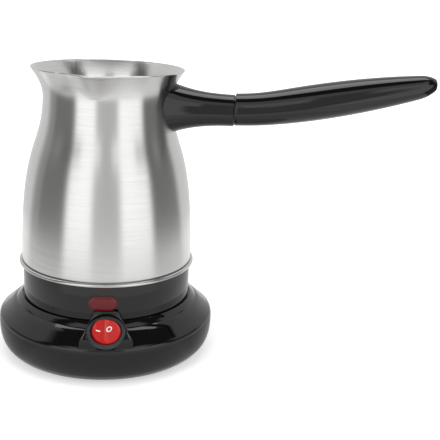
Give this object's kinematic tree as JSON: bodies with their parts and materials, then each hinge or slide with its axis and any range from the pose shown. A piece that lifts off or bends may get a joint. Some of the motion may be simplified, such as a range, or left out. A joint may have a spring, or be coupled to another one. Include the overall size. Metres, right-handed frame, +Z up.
{
  "type": "electric turkish coffee maker",
  "caption": "Waisted steel coffee pot with spout, long handle and heater collar, lifting off and turning on a round base with a rocker switch.",
  "frame": {"origin": "centre of the base on the surface that its feet stand on, under the pot's axis", "axes": "+Z up along the pot's axis, +X along the handle, the spout points along -Y"},
  "size_m": [0.26, 0.1396, 0.1803],
  "materials": {
    "brushed_steel": "circumferentially brushed",
    "plain_steel": "zinc plated",
    "gloss_black": "moulded, high gloss",
    "satin_black": "moulded, satin",
    "switch_grey": "moulded, satin",
    "red_rocker": "moulded, glossy, translucent",
    "red_lens": "moulded, clear dark red",
    "rubber": "moulded",
    "silicone": "moulded",
    "ceramic": "fired, matt",
    "brass": "stamped",
    "aluminium": "die cast",
    "heater_sheath": "annealed",
    "lamp_glass": "blown",
    "resistor_body": "lacquered",
    "wire_brown": "extruded",
    "wire_blue": "extruded",
    "wire_green": "extruded"
  },
  "bodies": {
    "base": {"base_cover": "gloss_black", "base_bottom": "satin_black", "rubber_feet": "rubber", "base_screws": "plain_steel", "cord_gland": "rubber", "cord_clamp": "satin_black", "clamp_screws": "plain_steel", "base_wire_live": "wire_brown", "base_wire_neutral": "wire_blue", "base_wire_earth": "wire_green", "base_wire_switched": "wire_brown", "base_connector": "satin_black", "contact_earth": "brass", "contact_inner": "brass", "contact_outer": "brass", "shutter_spring": "plain_steel", "switch_body": "switch_grey", "switch_terminal_common": "brass", "switch_terminal_load": "brass"},
    "shutter": {"connector_shutter": "ceramic"},
    "rocker": {"rocker": "red_rocker", "rocker_plunger": "ceramic", "rocker_spring": "plain_steel"},
    "blade": {"contact_blade": "brass"},
    "pot": {"pot_shell": "brushed_steel", "floor_plate": "brushed_steel", "bottom_ring": "brushed_steel", "seal_ring": "silicone", "heat_plate": "aluminium", "heating_element": "heater_sheath", "heater_studs": "plain_steel", "thermostat": "ceramic", "thermostat_bracket": "plain_steel", "thermal_fuse": "ceramic", "pot_collar": "gloss_black", "collar_base": "satin_black", "collar_screws": "plain_steel", "pot_connector": "ceramic", "earth_pin": "brass", "inner_ring": "brass", "outer_ring": "brass", "indicator_lens": "red_lens", "neon_lamp": "lamp_glass", "lamp_resistor": "resistor_body", "lamp_leads": "plain_steel", "pot_wire_live": "wire_brown", "pot_wire_neutral": "wire_blue", "pot_wire_earth": "wire_green", "handle_bracket": "plain_steel", "handle_ferrule": "gloss_black", "handle_grip": "gloss_black", "handle_screw": "plain_steel"}
  },
  "joints": [
    {"name": "pot_turn", "type": "hinge", "parent": "base", "child": "shutter", "pos_m": [0, 0, 0.0217], "axis": [0, 0, 1], "continuous": true},
    {"name": "pot_lift", "type": "slide", "parent": "shutter", "child": "pot", "axis": [0, 0, 1], "range_m": [0, 0.06]},
    {"name": "rocker_tilt", "type": "hinge", "parent": "base", "child": "rocker", "pos_m": [0.01019, -0.06092, 0.03318], "axis": [0.14, -0.8364, -0.5299], "range_deg": [0, 22]},
    {"name": "blade_tilt", "type": "hinge", "parent": "base", "child": "blade", "pos_m": [0.00934, -0.05579, 0.02487], "axis": [0.14, -0.8364, -0.5299], "range_deg": [-12, 0]}
  ],
  "couplings": [
    {"joint": "blade_tilt", "follows": "rocker_tilt", "ratio": -0.5454}
  ]
}
